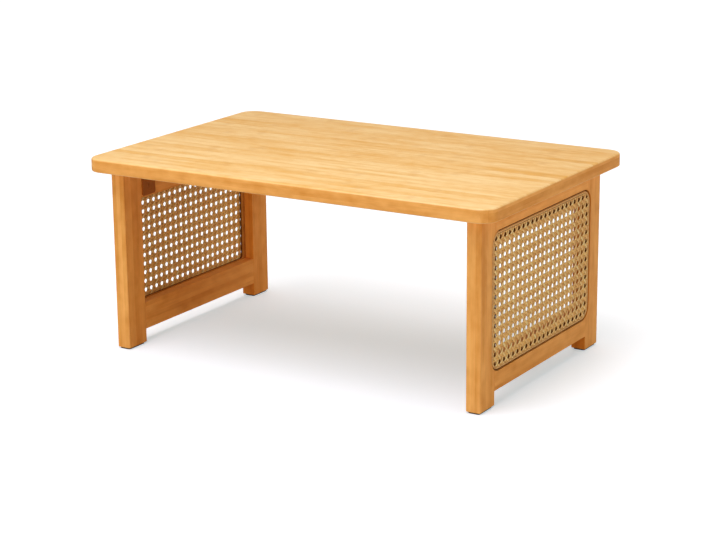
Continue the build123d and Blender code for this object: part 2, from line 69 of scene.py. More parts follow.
# ---- the studio ----------------------------------------------------------------------------------
# A row of soft lights hangs overhead from front to back, low ones fill from the front and from the
# right, and a soft box hangs above the front. A plain sky does the rest, and the floor is paper.
KEY_LEAN = 0.10  # the row's light leans this much to the right for each unit that it falls
KEY_ROW = (-0.35, 0.05, 0.45)  # and each of its lights leans this much to the back
KEY_STRENGTH = 0.59
KEY_SPREAD = math.radians(34)
FRONT_TRAVELS = Vector((-0.15, 1.0, -0.20))
FRONT_STRENGTH = 0.60
FRONT_COLOUR = (0.98, 1.0, 1.10)
SIDE_TRAVELS = Vector((-1.0, -0.28, -0.20))
SIDE_STRENGTH = 0.42
FILL_SPREAD = math.radians(22)
SOFT_BOX_PLACE = Vector((-0.10, -0.55, 1.15))
SOFT_BOX_AIM = Vector((-0.10, -0.10, 0.25))
SOFT_BOX_SIZE = 0.8
SOFT_BOX_WATTS = 5.0
SOFT_BOX_COLOUR = (0.80, 1.0, 1.20)
SKY_STRENGTH = 0.30
SKY_COLOUR = (1.0, 0.92, 0.80, 1)
SKY_SEEN = (1, 1, 1, 1)
FLOOR_RADIUS = 12.0
FLOOR_SIDES = 64
FLOOR_BOUNCE = (0.69, 0.60, 0.48, 1)
FLOOR_SEEN = (0.84, 0.73, 0.74, 1)
FLOOR_LIFT = (0.32, 0.44, 0.47, 1)  # cool, against the warm light that the bamboo sheds
BACKGROUND_RAYS = ("Is Camera Ray", "Is Transmission Ray")


def add_lamp(name, kind, travels, energy):
    """A lamp whose light travels in one direction."""
    lamp = bpy.data.lights.new(name, kind)
    lamp.energy = energy
    holder = bpy.data.objects.new(name, lamp)
    holder.rotation_euler = travels.to_track_quat("-Z", "Y").to_euler()
    scene.collection.objects.link(holder)
    return holder


def seen_or_lit(tree, path_kinds, lit, seen):
    """Mix two shaders: the second one for the named kinds of ray, the first one for all others."""
    path = tree.nodes.new("ShaderNodeLightPath")
    kinds = path.outputs[path_kinds[0]]
    for kind in path_kinds[1:]:
        either = tree.nodes.new("ShaderNodeMath")
        either.operation = "MAXIMUM"
        tree.links.new(kinds, either.inputs[0])
        tree.links.new(path.outputs[kind], either.inputs[1])
        kinds = either.outputs[0]
    mix = tree.nodes.new("ShaderNodeMixShader")
    tree.links.new(kinds, mix.inputs[0])
    tree.links.new(lit.outputs[0], mix.inputs[1])
    tree.links.new(seen.outputs[0], mix.inputs[2])
    return mix


def new_finish(name):
    """A new material, still plain."""
    finish = bpy.data.materials.new(name)
    finish.use_nodes = True
    return finish


def paper_finish():
    """Paper that looks brighter and cooler than the light it sheds, and is clear from below."""
    finish = new_finish("white_paper")
    tree = finish.node_tree
    tree.nodes.remove(tree.nodes["Principled BSDF"])
    lit = tree.nodes.new("ShaderNodeBsdfDiffuse")
    lit.inputs["Color"].default_value = FLOOR_BOUNCE
    seen = tree.nodes.new("ShaderNodeBsdfDiffuse")
    seen.inputs["Color"].default_value = FLOOR_SEEN
    glow = tree.nodes.new("ShaderNodeEmission")
    glow.inputs["Color"].default_value = FLOOR_LIFT
    bright = tree.nodes.new("ShaderNodeAddShader")
    tree.links.new(seen.outputs[0], bright.inputs[0])
    tree.links.new(glow.outputs[0], bright.inputs[1])
    from_above = seen_or_lit(tree, BACKGROUND_RAYS, lit, bright)
    side = tree.nodes.new("ShaderNodeNewGeometry")
    clear = tree.nodes.new("ShaderNodeBsdfTransparent")
    either_side = tree.nodes.new("ShaderNodeMixShader")
    tree.links.new(side.outputs["Backfacing"], either_side.inputs[0])
    tree.links.new(from_above.outputs[0], either_side.inputs[1])
    tree.links.new(clear.outputs[0], either_side.inputs[2])
    tree.links.new(either_side.outputs[0], tree.nodes["Material Output"].inputs["Surface"])
    return finish


def place_mesh(name, bm):
    """Turn a finished bmesh into a piece of the scene."""
    mesh = bpy.data.meshes.new(name)
    bm.to_mesh(mesh)
    bm.free()
    piece = bpy.data.objects.new(name, mesh)
    scene.collection.objects.link(piece)
    return piece


scene.view_settings.view_transform = "Standard"
for number, lean in enumerate(KEY_ROW):
    key_light = add_lamp(f"key_light_{number}", "SUN", Vector((KEY_LEAN, lean, -1.0)), KEY_STRENGTH)
    key_light.data.angle = KEY_SPREAD
front_light = add_lamp("front_light", "SUN", FRONT_TRAVELS, FRONT_STRENGTH)
front_light.data.angle = FILL_SPREAD
front_light.data.color = FRONT_COLOUR
side_light = add_lamp("side_light", "SUN", SIDE_TRAVELS, SIDE_STRENGTH)
side_light.data.angle = FILL_SPREAD
soft_box = add_lamp("soft_box", "AREA", SOFT_BOX_AIM - SOFT_BOX_PLACE, SOFT_BOX_WATTS)
soft_box.location = SOFT_BOX_PLACE
soft_box.data.size = SOFT_BOX_SIZE
soft_box.data.color = SOFT_BOX_COLOUR

sky = bpy.data.worlds.new("sky")
sky.use_nodes = True
scene.world = sky
sky_lit = sky.node_tree.nodes["Background"]
sky_lit.inputs["Color"].default_value = SKY_COLOUR
sky_lit.inputs["Strength"].default_value = SKY_STRENGTH
sky_seen = sky.node_tree.nodes.new("ShaderNodeBackground")
sky_seen.inputs["Color"].default_value = SKY_SEEN
sky_mix = seen_or_lit(sky.node_tree, BACKGROUND_RAYS, sky_lit, sky_seen)
sky.node_tree.links.new(sky_mix.outputs[0], sky.node_tree.nodes["World Output"].inputs[0])

floor_disc = bmesh.new()
bmesh.ops.create_circle(floor_disc, cap_ends=True, segments=FLOOR_SIDES, radius=FLOOR_RADIUS)
floor = place_mesh("floor", floor_disc)
floor.data.materials.append(paper_finish())

# ---- the table top -------------------------------------------------------------------------------
# A board glued up in three layers from flat bamboo strips, sanded, with eased edges and a satin
# lacquer. Each strip keeps its own tone, and a faint stain marks each node of the cane it came from.
SIDES = {"left": -1, "right": 1}  # the table's two ends, and the side of X that each is on
TOP_CORNER = 0.022
TOP_CORNER_STEPS = 16
TOP_UPPER_EASE = 0.003
TOP_UPPER_STEPS = 5
TOP_LOWER_EASE = 0.002
TOP_LOWER_STEPS = 4
SAME_PLACE = 1e-6  # points closer than this are taken as one
POCKET_SIDES = 32
POCKET_GAP = 0.0001  # for glue, between a bolt's keeper and the pocket that it sits in
TOP_STRIP = 0.0155
LAYER_DEPTH = 0.0064
SANDED_OFF = 0.0003  # what sanding took from the lowest layer
STRIP_WEIGHT = 0.40  # how far a strip's own tone moves the colour
DRIFT_RATE = 9.0  # changes of tone in a metre along one strip
DRIFT_WEIGHT = 1.3
BAND_RATES = (4.0, 45.0)  # changes of tone in a metre, along the grain and across it
BAND_WEIGHT = 1.1
STREAK_RATES = (6.0, 115.0)
STREAK_WEIGHT = 1.1
FLECK_RATES = (60.0, 115.0)
FLECK_WEIGHT = 0.9
FIBRE_RATES = (26.0, 2100.0)
LAYER_JUMP = 31.7  # keeps the strips of one layer unlike those of the next
STRIP_JUMP = 7.3  # keeps the drift of one strip unlike its neighbour's
NODE_JUMP = 17.0  # keeps the nodes of neighbouring strips apart
NODE_GAP = 0.31
NODE_STAIN = 0.011  # half the length of the soft stain
NODE_STAIN_DEPTH = 0.6
NODE_RAGGED = 0.012  # how far the streaks push the stain's edge about
NODE_LINE = 0.0008  # half the width of the fine line in its middle
NODE_LINE_DEPTH = 0.5
SEAM = 0.00022  # half the width of the glue line between two strips
STAIN_SHARE = 0.3  # how much of their own colour the nodes and the seams show
FIBRE_SHADES = (0.90, 1.10)  # darkest and palest, as shares of the colour
FIBRE_RELIEF = 0.0003
FIBRE_RELIEF_STRENGTH = 0.12
LACQUER_GLOSS = (0.32, 0.44)  # lowest and highest roughness
SURFACE_SHINE = 0.5
EDGE_SHINE = 0.1
EASE_TURN = 0.45  # the part of the normal along Z at which the paler tone, painted light on the upper face, gives way to the deeper tone, painted shade on the sides
EASE_BLEND = 0.10
GRAIN_ALONG_X = (0.0, 0.0, 0.0)
GRAIN_ALONG_Y = (0.0, 0.0, -math.pi / 2)
GRAIN_ALONG_Z = (0.0, math.pi / 2, 0.0)
# the same bamboo in two tones: paler on the upper face as painted light, deeper and stronger on the
# sides as painted shade
LIT_TOP_TONES = ((1.0, 0.65, 0.285), (0.85, 0.42, 0.088), (0.62, 0.25, 0.04))  # pale, deep, stain
SHADED_SIDE_TONES = ((0.98, 0.49, 0.14), (0.76, 0.31, 0.06), (0.56, 0.19, 0.025))


def bamboo_figure():
    """The figure of glued bamboo strips, with the grain along the vector's X."""
    group = bpy.data.node_groups.new("bamboo_figure", "ShaderNodeTree")
    add = group.nodes.new
    link = group.links.new
    sockets = group.interface
    sockets.new_socket("Vector", in_out="INPUT", socket_type="NodeSocketVector")
    sockets.new_socket("Strip Width", in_out="INPUT", socket_type="NodeSocketFloat")
    for name in ("Tone", "Fibre", "Node", "Seam"):
        sockets.new_socket(name, in_out="OUTPUT", socket_type="NodeSocketFloat")
    given = add("NodeGroupInput")
    result = add("NodeGroupOutput")

    def work_out(operation, *values):
        """The result of a sum, worked out from numbers and the outputs of nodes."""
        node = add("ShaderNodeMath")
        node.operation = operation
        for socket, value in zip(node.inputs, values):
            if isinstance(value, (int, float)):
                socket.default_value = value
            else:
                link(value, socket)
        return node.outputs[0]

    def fade(distance, full, gone):
        """1 up to one distance, 0 from another on, and smooth between them."""
        ease = add("ShaderNodeMapRange")
        ease.interpolation_type = "SMOOTHSTEP"
        ease.inputs["From Min"].default_value = full
        ease.inputs["From Max"].default_value = gone
        ease.inputs["To Min"].default_value = 1.0
        ease.inputs["To Max"].default_value = 0.0
        link(distance, ease.inputs["Value"])
        return ease.outputs[0]

    def fade_line(distance, half_width):
        """1 over the middle half of a line, and 0 from a quarter of its width outside it."""
        return fade(distance, half_width / 2, half_width * 1.5)

    def noise(x, y, z, detail):
        """Noise that runs to both sides of 0."""
        spot = add("ShaderNodeCombineXYZ")
        for socket, value in zip(spot.inputs, (x, y, z)):
            link(value, socket)
        cloud = add("ShaderNodeTexNoise")
        cloud.inputs["Scale"].default_value = 1.0
        cloud.inputs["Detail"].default_value = detail
        link(spot.outputs[0], cloud.inputs["Vector"])
        return work_out("SUBTRACT", cloud.outputs["Fac"], 0.5)

    split = add("ShaderNodeSeparateXYZ")
    link(given.outputs["Vector"], split.inputs[0])
    along, across, deep = split.outputs

    def stretched(rates, detail):
        """Noise that changes at one rate along the grain and at another across it."""
        lengthwise, crosswise = rates
        return noise(
            work_out("MULTIPLY", along, lengthwise),
            work_out("MULTIPLY", across, crosswise),
            work_out("MULTIPLY", deep, crosswise),
            detail,
        )

    place = work_out("DIVIDE", across, given.outputs["Strip Width"])
    strip = work_out("FLOOR", place)
    layer = work_out("FLOOR", work_out("DIVIDE", deep, LAYER_DEPTH))
    piece = work_out("MULTIPLY_ADD", layer, LAYER_JUMP, strip)
    chance = add("ShaderNodeTexWhiteNoise")
    chance.noise_dimensions = "1D"
    link(piece, chance.inputs["W"])

    own_tone = work_out("SUBTRACT", chance.outputs["Value"], 0.5)
    along_strip = work_out("MULTIPLY", along, DRIFT_RATE)
    drift = noise(along_strip, work_out("MULTIPLY", piece, STRIP_JUMP), layer, detail=2.0)
    bands = stretched(BAND_RATES, detail=3.0)
    streaks = stretched(STREAK_RATES, detail=3.0)
    flecks = stretched(FLECK_RATES, detail=2.0)
    fibre = stretched(FIBRE_RATES, detail=2.0)
    tone = work_out("MULTIPLY_ADD", own_tone, STRIP_WEIGHT, 0.5)
    for change, weight in (
        (drift, DRIFT_WEIGHT),
        (bands, BAND_WEIGHT),
        (streaks, STREAK_WEIGHT),
        (flecks, FLECK_WEIGHT),
    ):
        tone = work_out("MULTIPLY_ADD", change, weight, tone)
    link(tone, result.inputs["Tone"])
    link(work_out("ADD", fibre, 0.5), result.inputs["Fibre"])

    turns = work_out("DIVIDE", along, NODE_GAP)
    turns = work_out("MULTIPLY_ADD", chance.outputs["Value"], NODE_JUMP, turns)
    from_node = work_out("ABSOLUTE", work_out("SUBTRACT", work_out("FRACT", turns), 0.5))
    from_node = work_out("MULTIPLY", from_node, NODE_GAP)
    ragged = work_out("MULTIPLY_ADD", streaks, NODE_RAGGED, from_node)
    stain = work_out("MULTIPLY", fade(ragged, 0.0, NODE_STAIN), NODE_STAIN_DEPTH)
    line = work_out("MULTIPLY", fade_line(from_node, NODE_LINE), NODE_LINE_DEPTH)
    link(work_out("MAXIMUM", stain, line), result.inputs["Node"])

    from_middle = work_out("ABSOLUTE", work_out("SUBTRACT", work_out("FRACT", place), 0.5))
    from_seam = work_out("SUBTRACT", 0.5, from_middle)
    from_seam = work_out("MULTIPLY", from_seam, given.outputs["Strip Width"])
    link(fade_line(from_seam, SEAM), result.inputs["Seam"])
    return group


BAMBOO_FIGURE = bamboo_figure()


def mixed_colour(tree, factor, first, second):
    """A colour between two others, each a plain colour or the output of a node."""
    mix = tree.nodes.new("ShaderNodeMix")
    mix.data_type = "RGBA"
    for name, value in (("A", first), ("B", second)):
        if isinstance(value, tuple):
            mix.inputs[name].default_value = (*value, 1)
        else:
            tree.links.new(value, mix.inputs[name])
    tree.links.new(factor, mix.inputs["Factor"])
    return mix.outputs["Result"]


def spread_over(tree, value, lowest, highest):
    """Map a value that runs from 0 to 1 onto another range."""
    spread = tree.nodes.new("ShaderNodeMapRange")
    spread.inputs["To Min"].default_value = lowest
    spread.inputs["To Max"].default_value = highest
    tree.links.new(value, spread.inputs["Value"])
    return spread.outputs[0]


def ramp_between(tree, value, start, end):
    """0 up to the start, 1 from the end on, and a straight ramp between them."""
    ramp = tree.nodes.new("ShaderNodeMapRange")
    ramp.inputs["From Min"].default_value = start
    ramp.inputs["From Max"].default_value = end
    tree.links.new(value, ramp.inputs["Value"])
    return ramp.outputs[0]


def add_relief(tree, height, strength, depth):
    """Give a finish a fine relief that follows a height."""
    bump = tree.nodes.new("ShaderNodeBump")
    bump.inputs["Strength"].default_value = strength
    bump.inputs["Distance"].default_value = depth
    tree.links.new(height, bump.inputs["Height"])
    tree.links.new(bump.outputs[0], tree.nodes["Principled BSDF"].inputs["Normal"])


def place_figure(tree, strip_width, turn, shift=(0.0, 0.0, 0.0)):
    """Lay the bamboo figure over a piece, with its grain turned onto one of the table's axes."""
    place = tree.nodes.new("ShaderNodeTexCoord")
    turned = tree.nodes.new("ShaderNodeMapping")
    turned.inputs["Location"].default_value = shift
    turned.inputs["Rotation"].default_value = turn
    figure = tree.nodes.new("ShaderNodeGroup")
    figure.node_tree = BAMBOO_FIGURE
    figure.inputs["Strip Width"].default_value = strip_width
    tree.links.new(place.outputs["Object"], turned.inputs["Vector"])
    tree.links.new(turned.outputs[0], figure.inputs["Vector"])
    return figure.outputs


def bamboo_colour(tree, figure, tones):
    """The wood's colour: the strips' tones, the stains at the nodes, the seams and the fibres."""
    pale, deep, stain = tones
    colour = mixed_colour(tree, figure["Tone"], deep, pale)
    for mark in ("Node", "Seam"):
        share = spread_over(tree, figure[mark], 0.0, STAIN_SHARE)
        colour = mixed_colour(tree, share, colour, stain)
    fine = tree.nodes.new("ShaderNodeVectorMath")
    fine.operation = "SCALE"
    tree.links.new(colour, fine.inputs[0])
    tree.links.new(spread_over(tree, figure["Fibre"], *FIBRE_SHADES), fine.inputs["Scale"])
    return fine.outputs[0]


def lacquer_over(finish, colour, fibre, shine):
    """Give a bamboo finish its colour, its satin gloss and the fine relief of its fibres."""
    tree = finish.node_tree
    shader = tree.nodes["Principled BSDF"]
    shader.inputs["Specular IOR Level"].default_value = shine
    tree.links.new(colour, shader.inputs["Base Color"])
    tree.links.new(spread_over(tree, fibre, *LACQUER_GLOSS), shader.inputs["Roughness"])
    add_relief(tree, fibre, FIBRE_RELIEF_STRENGTH, FIBRE_RELIEF)


def top_finish(name, lowest, shine):
    """The top's finish: paler tones on its upper face as painted light and deeper ones on its edges
    as painted shade, and its ends are edged with strips across it.
    """
    finish = new_finish(name)
    tree = finish.node_tree
    below_layers = (0.0, 0.0, SANDED_OFF - lowest)
    long_way = place_figure(tree, TOP_STRIP, GRAIN_ALONG_X, below_layers)
    end_way = place_figure(tree, TOP_STRIP, GRAIN_ALONG_Y, below_layers)
    facing = tree.nodes.new("ShaderNodeTexCoord")
    facing_split = tree.nodes.new("ShaderNodeSeparateXYZ")
    tree.links.new(facing.outputs["Normal"], facing_split.inputs[0])

    def faces_along(axis):
        """1 on faces that look along an axis, 0 on those that look aside, and a short blend."""
        size = tree.nodes.new("ShaderNodeMath")
        size.operation = "ABSOLUTE"
        tree.links.new(facing_split.outputs[axis], size.inputs[0])
        return ramp_between(tree, size.outputs[0], EASE_TURN - EASE_BLEND, EASE_TURN + EASE_BLEND)

    # the edges take the deeper tones as painted shade, and the upper face the paler ones as painted
    # light
    long_edge = bamboo_colour(tree, long_way, SHADED_SIDE_TONES)
    end_edge = bamboo_colour(tree, end_way, SHADED_SIDE_TONES)
    shaded_side_colour = mixed_colour(tree, faces_along("X"), long_edge, end_edge)
    lit_top_colour = bamboo_colour(tree, long_way, LIT_TOP_TONES)
    colour = mixed_colour(tree, faces_along("Z"), shaded_side_colour, lit_top_colour)
    lacquer_over(finish, colour, long_way["Fibre"], shine)
    return finish


def edges_at(bm, level):
    """The edges that lie at one height."""
    return [e for e in bm.edges if all(abs(v.co.z - level) < SAME_PLACE for v in e.verts)]


def round_off(bm, edges, radius, steps):
    """Round some edges off to a quarter circle."""
    bmesh.ops.bevel(
        bm, geom=edges, offset=radius, offset_type="OFFSET", segments=steps, profile=0.5,
        affect="EDGES", material=-1,
    )


def rounded_board(low, high):
    """A slab with round corners and eased edges. Its wide faces take the first of two materials."""
    bm = bmesh.new()
    bmesh.ops.create_cube(bm, size=1.0)
    bmesh.ops.scale(bm, vec=high - low, verts=bm.verts)
    bmesh.ops.translate(bm, vec=(low + high) / 2, verts=bm.verts)
    level_edges = edges_at(bm, low.z) + edges_at(bm, high.z)
    round_off(bm, [e for e in bm.edges if e not in level_edges], TOP_CORNER, TOP_CORNER_STEPS)
    round_off(bm, edges_at(bm, high.z), TOP_UPPER_EASE, TOP_UPPER_STEPS)
    round_off(bm, edges_at(bm, low.z), TOP_LOWER_EASE, TOP_LOWER_STEPS)
    bm.normal_update()
    for face in bm.faces:
        face.smooth = True
        face.material_index = 0 if abs(face.normal.z) > EASE_TURN else 1
    return bm


def cut_keeper_pockets(bm, level):
    """Make the board's underside again, round the mouths of two pockets for the bolts' keepers."""
    underside = min(bm.faces, key=lambda face: face.calc_center_median().z)
    outlines = list(underside.edges)
    bmesh.ops.delete(bm, geom=[underside], context="FACES_ONLY")
    for side in SIDES:
        keeper_low, keeper_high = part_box(f"{side}_bolt_keeper")
        keeper_size = keeper_high - keeper_low
        keeper_foot = Vector((*((keeper_low + keeper_high) / 2).xy, level))
        mouth = bmesh.ops.create_circle(
            bm, segments=POCKET_SIDES, radius=keeper_size.x / 2 + POCKET_GAP,
            matrix=Matrix.Translation(keeper_foot),
        )["verts"]
        mouth_edges = [e for e in bm.edges if all(v in mouth for v in e.verts)]
        wall = bmesh.ops.extrude_edge_only(bm, edges=mouth_edges)["geom"]
        end_verts = [g for g in wall if isinstance(g, bmesh.types.BMVert)]
        bmesh.ops.translate(bm, vec=(0, 0, keeper_size.z), verts=end_verts)
        bmesh.ops.contextual_create(bm, geom=end_verts)
        outlines += mouth_edges
    bmesh.ops.triangle_fill(bm, edges=outlines, use_beauty=True)
    bmesh.ops.recalc_face_normals(bm, faces=bm.faces)


top_low, top_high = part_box("table_top")
board = rounded_board(top_low, top_high)
cut_keeper_pockets(board, top_low.z)
bamboo_top = place_mesh("bamboo_top", board)
bamboo_top.data.materials.append(top_finish("bamboo_top_surface", top_low.z, SURFACE_SHINE))
bamboo_top.data.materials.append(top_finish("bamboo_top_edge", top_low.z, EDGE_SHINE))
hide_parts("table_top")
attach(bamboo_top, "table")

# ---- the end frames ------------------------------------------------------------------------------
# Two legs and two rails of solid bamboo bar, dowelled and glued into one frame. The grain runs up the
# legs and along the rails, and the lacquer is the same satin one as on the top.
BAR_STRIP = 0.0127
# deeper tones painted on the frames' faces that look into the table, as painted shade
INNER_SHADE_TONES = ((0.86, 0.325, 0.045), (0.66, 0.20, 0.018), (0.48, 0.125, 0.008))
INNER_FULL = 0.12  # metres from the table's middle at which a leg's inner side takes all of its painted shade
INNER_LEAN = 0.2  # the share of its distance that counts for a side facing the other end frame


def looks_inwards(tree):
    """Up to 1 on the faces that look at the table's middle, which take painted shade, and 0 on those
    that look away from it.
    """
    place = tree.nodes.new("ShaderNodeTexCoord")
    from_middle = tree.nodes.new("ShaderNodeMapping")
    from_middle.inputs["Scale"].default_value = (INNER_LEAN, 1.0, 0.0)
    outwards = tree.nodes.new("ShaderNodeVectorMath")
    outwards.operation = "DOT_PRODUCT"
    tree.links.new(place.outputs["Object"], from_middle.inputs["Vector"])
    tree.links.new(from_middle.outputs[0], outwards.inputs[0])
    tree.links.new(place.outputs["Normal"], outwards.inputs[1])
    return ramp_between(tree, outwards.outputs["Value"], 0.0, -INNER_FULL)


def bar_finish(name, turn):
    """The finish of a bar, with its grain along one of the table's axes, and painted shade on the
    faces that look at the table's middle.
    """
    finish = new_finish(name)
    tree = finish.node_tree
    figure = place_figure(tree, BAR_STRIP, turn)
    # the bars' outer faces take the deeper side tones, painted shade beside the top's paler face
    outside = bamboo_colour(tree, figure, SHADED_SIDE_TONES)
    inward_shade = bamboo_colour(tree, figure, INNER_SHADE_TONES)
    colour = mixed_colour(tree, looks_inwards(tree), outside, inward_shade)
    lacquer_over(finish, colour, figure["Fibre"], EDGE_SHINE)
    return finish


def refinish(node, finish):
    """Give a node of the frame its finish."""
    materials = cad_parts[node].data.materials
    materials.clear()
    materials.append(finish)


def refinish_ends(parts, finish):
    """Give the same parts at both ends of the table their finish."""
    for side in SIDES:
        for part in parts:
            refinish(f"{side}_{part}", finish)


leg_finish = bar_finish("bamboo_leg", GRAIN_ALONG_Z)
rail_finish = bar_finish("bamboo_rail", GRAIN_ALONG_Y)
refinish_ends(("front_leg", "back_leg"), leg_finish)
refinish_ends(("top_rail", "bottom_rail", "frame_dowels"), rail_finish)

# ---- the cane frames -----------------------------------------------------------------------------
# A thin bamboo ring behind each woven panel, darkened on its outside with painted shade, so that the
# panel's edge and the line round it read as shadow. It sits in a rebate and takes the spline in a
# groove.
# painted shade on the ring's outside
RING_SHADE_TONES = ((0.20, 0.060, 0.007), (0.12, 0.033, 0.004), (0.07, 0.018, 0.002))
RING_BACK_TONES = ((0.62, 0.27, 0.06), (0.45, 0.17, 0.03), (0.30, 0.10, 0.015))
RING_SHINE = 0.02
RING_SHADE_DEPTH = 0.003


def ring_finish(outermost):
    """The finish of a ring: painted shade down from its outside, and bare at its back."""
    finish = new_finish("ring_with_painted_shade")
    tree = finish.node_tree
    figure = place_figure(tree, BAR_STRIP, GRAIN_ALONG_Y)
    place = tree.nodes.new("ShaderNodeTexCoord")
    split = tree.nodes.new("ShaderNodeSeparateXYZ")
    from_middle = tree.nodes.new("ShaderNodeMath")
    from_middle.operation = "ABSOLUTE"
    tree.links.new(place.outputs["Object"], split.inputs[0])
    tree.links.new(split.outputs["X"], from_middle.inputs[0])
    shaded_outside = ramp_between(
        tree, from_middle.outputs[0], outermost - RING_SHADE_DEPTH, outermost - RING_SHADE_DEPTH / 2
    )
    back = bamboo_colour(tree, figure, RING_BACK_TONES)
    outside = bamboo_colour(tree, figure, RING_SHADE_TONES)
    colour = mixed_colour(tree, shaded_outside, back, outside)
    lacquer_over(finish, colour, figure["Fibre"], RING_SHINE)
    return finish


ring_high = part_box("right_cane_frame")[1]
refinish_ends(("cane_frame",), ring_finish(outermost=ring_high.x))

# ---- the cane webbing ----------------------------------------------------------------------------
# Strips of split rattan, woven six ways: upright and level strips in pairs, and single strips along
# both diagonals that pass over one pair and under the next. The eight-sided holes are what is left.
CANE_PITCH = 0.0122
STRIP_WIDTH = 0.0031
STRIP_THICKNESS = 0.00040
STRIP_CROWN = 0.00012
STRIP_SPARE = 0.002  # extra length, cut off again along the panel's outline
SHORTEST_REACH = CANE_PITCH / 2  # slanting strips that reach less across a panel are left out
STEPS_PER_PITCH = 8
PAIR_HALF = 0.0017  # from the middle of a pair to the middle of each of its strips
PAIR_LIFT = 0.00024
DIAGONAL_LIFT = 0.00042
DIAGONAL_STEEPNESS = 2.5  # how suddenly a diagonal strip changes from over to under
CANE_CORNER = 0.01365
CORNER_CUTS = 3
SKIN_TONES = ((0.62, 0.255, 0.05), (1.0, 0.62, 0.185))  # deep, pale
PALE_SKIN_TONES = ((0.90, 0.47, 0.125), (1.0, 0.84, 0.40))
PITH_TONES = ((0.60, 0.25, 0.045), (1.0, 0.60, 0.165))
PALE_PITH_TONES = ((0.90, 0.45, 0.115), (1.0, 0.86, 0.40))
# painted shade on the strips' cut edges, darkening the rims of the holes
CUT_EDGE_SHADE_TONES = ((0.14, 0.040, 0.004), (0.28, 0.095, 0.012))
CANE_LINE_RATES = (70.0, 5.0, 1.0)  # in a metre along a strip, and over a strip's width
CANE_OWN_TONE = 0.35  # how much a strip's own tone counts beside its lines
CANE_TONE_ENDS = (0.35, 0.95)  # the sums of both that give the deep tone and the pale one
CANE_GLOSS = (0.34, 0.50)
CANE_RELIEF = 0.0002
CANE_RELIEF_STRENGTH = 0.2


def woven_lift(distance):
    """How far a strip rises over one strip of each pair it crosses, and dips under the other."""
    off = distance - round(distance / CANE_PITCH) * CANE_PITCH
    if abs(off) >= 2 * PAIR_HALF:
        return 0.0
    return PAIR_LIFT * math.sin(math.pi * off / (2 * PAIR_HALF))


def diagonal_lift(distance):
    """How far a strip of one diagonal rises over upright pairs, and dips under level ones."""
    wave = math.cos(2 * math.pi * distance / CANE_PITCH)
    return DIAGONAL_LIFT * math.tanh(DIAGONAL_STEEPNESS * wave)


def upright_strips(half_width, half_height):
    """The middle, heading, length and lift of each upright strip of a panel."""
    reach = int(half_width / CANE_PITCH) + 1
    for column in range(-reach, reach + 1):
        for hand in (-1, 1):
            middle = Vector((column * CANE_PITCH + hand * PAIR_HALF, 0, 0))
            yield (
                middle, math.pi / 2, 2 * half_height,
                lambda spot, hand=hand: hand * woven_lift(spot.y),
            )


def level_strips(half_width, half_height):
    """The middle, heading, length and lift of each level strip of a panel."""
    reach = int(half_height / CANE_PITCH) + 1
    for row in range(-reach, reach + 1):
        for hand in (-1, 1):
            middle = Vector((0, row * CANE_PITCH + hand * PAIR_HALF, 0))
            yield (
                middle, 0.0, 2 * half_width,
                lambda spot, hand=hand: -hand * woven_lift(spot.x),
            )


def diagonal_strips(half_width, half_height):
    """The middle, heading, length and lift of each slanting strip of a panel.

    Where the strips of one diagonal pass over, those of the other pass under.
    """
    reach = int((half_width + half_height) / CANE_PITCH) + 1
    for lean in (1, -1):
        for line in range(-reach, reach):
            offset = (line + 0.5) * CANE_PITCH
            first = max(-half_width, offset - half_height)
            last = min(half_width, offset + half_height)
            if last - first < SHORTEST_REACH:
                continue
            middle_x = (first + last) / 2
            middle = Vector((middle_x, lean * (middle_x - offset), 0))
            yield (
                middle, lean * math.pi / 4, (last - first) * math.sqrt(2),
                lambda spot, lean=lean: lean * diagonal_lift(spot.x),
            )


def lay_strip(bm, number, middle, heading, length, lift):
    """Lay one strip through a point of the panel's plane, and let it rise and dip along its way."""
    length += STRIP_SPARE
    steps = round(length / CANE_PITCH * STEPS_PER_PITCH)
    # one unit long and wide, with a line of points along its middle
    made = bmesh.ops.create_grid(bm, x_segments=steps, y_segments=2, size=0.5)["verts"]
    uv = bm.loops.layers.uv.verify()
    along = Vector((math.cos(heading), math.sin(heading), 0))
    across = Vector((-along.y, along.x, 0))
    for vert in made:
        run = vert.co.x * length
        side = vert.co.y
        for loop in vert.link_loops:
            loop[uv].uv = (run, number + side)
        on_line = middle + along * run
        spot = on_line + across * side * STRIP_WIDTH
        crown = STRIP_CROWN * (1 - 4 * side * side)  # full in the middle, and 0 at both edges
        vert.co = Vector((spot.x, spot.y, lift(on_line) + crown))


def trim_panel(bm, half_width, half_height):
    """Cut the strips off along the panel's outline, with its round corners."""
    cuts = [((half_width, 0), 0.0), ((0, half_height), math.pi / 2)]
    for part in range(1, CORNER_CUTS + 1):
        turn = math.pi / 2 * part / (CORNER_CUTS + 1)
        point = (
            half_width - CANE_CORNER + CANE_CORNER * math.cos(turn),
            half_height - CANE_CORNER + CANE_CORNER * math.sin(turn),
        )
        cuts.append((point, turn))
    for point, turn in cuts:
        for flip_x in (1, -1):
            for flip_y in (1, -1):
                bmesh.ops.bisect_plane(
                    bm, geom=bm.verts[:] + bm.edges[:] + bm.faces[:], clear_outer=True,
                    plane_co=(flip_x * point[0], flip_y * point[1], 0),
                    plane_no=(flip_x * math.cos(turn), flip_y * math.sin(turn), 0),
                )


def weave_strips(name, plan, half, stand):
    """Weave and trim the strips of one kind lying flat, and stand them in their panel."""
    bm = bmesh.new()
    for number, strip in enumerate(plan(half.y, half.z)):
        lay_strip(bm, number, *strip)
    trim_panel(bm, half.y, half.z)
    bm.transform(stand)
    if stand.is_negative:
        bmesh.ops.reverse_faces(bm, faces=bm.faces)
    for face in bm.faces:
        face.smooth = True
    strips = place_mesh(name, bm)
    shell = strips.modifiers.new("thickness", "SOLIDIFY")
    shell.thickness = STRIP_THICKNESS
    shell.offset = 0
    shell.material_offset = 1
    shell.material_offset_rim = 2
    return strips


